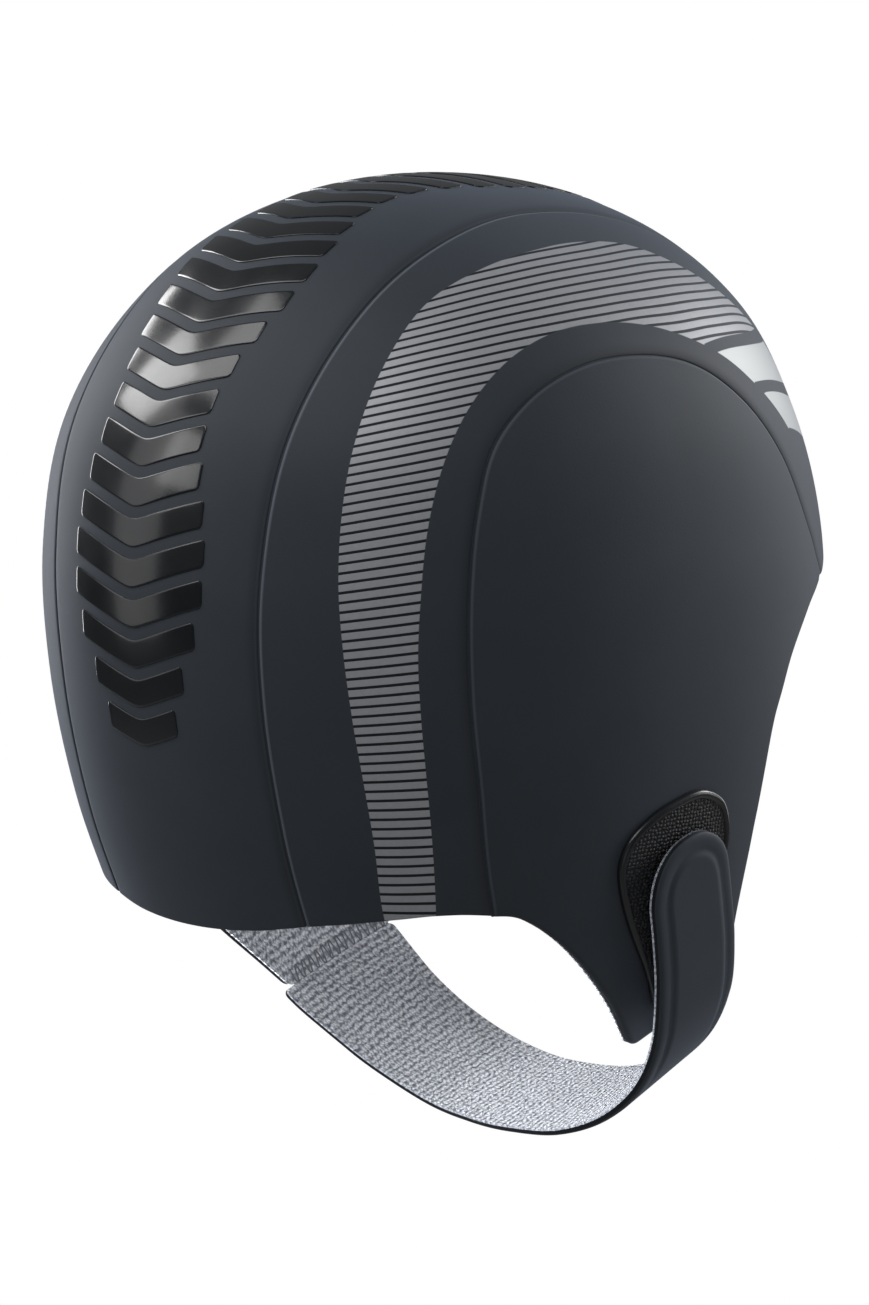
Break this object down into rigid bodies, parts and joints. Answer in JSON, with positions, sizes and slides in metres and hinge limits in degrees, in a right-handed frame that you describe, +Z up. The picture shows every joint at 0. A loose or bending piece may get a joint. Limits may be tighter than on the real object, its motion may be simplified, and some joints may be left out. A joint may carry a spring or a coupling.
{
  "type": "neoprene swim cap",
  "caption": "Foam rubber swim cap with ear flaps and a chin strap that closes on a hook tape pad at the wearer's right.",
  "frame": {"origin": "inside of the crown, where the cap rests on the top of the wearer's head", "axes": "+Z up; the wearer faces -Y; +X is the wearer's left"},
  "size_m": [0.1626, 0.1998, 0.2329],
  "materials": {
    "foam_sheet": "matte slate grey knit-faced foam rubber",
    "loop_knit": "light grey-blue loop knit",
    "hook_tape": "black hook tape",
    "glossy_border": "smooth glossy black"
  },
  "bodies": {
    "root": {"crown_panel": "foam_sheet", "side_panel_left": "foam_sheet", "side_panel_right": "foam_sheet", "ear_panel_left": "foam_sheet", "ear_panel_right": "foam_sheet", "chin_strap": "foam_sheet", "strap_lining": "loop_knit", "hook_pad": "hook_tape", "hook_pad_border": "glossy_border"}
  },
  "joints": []
}
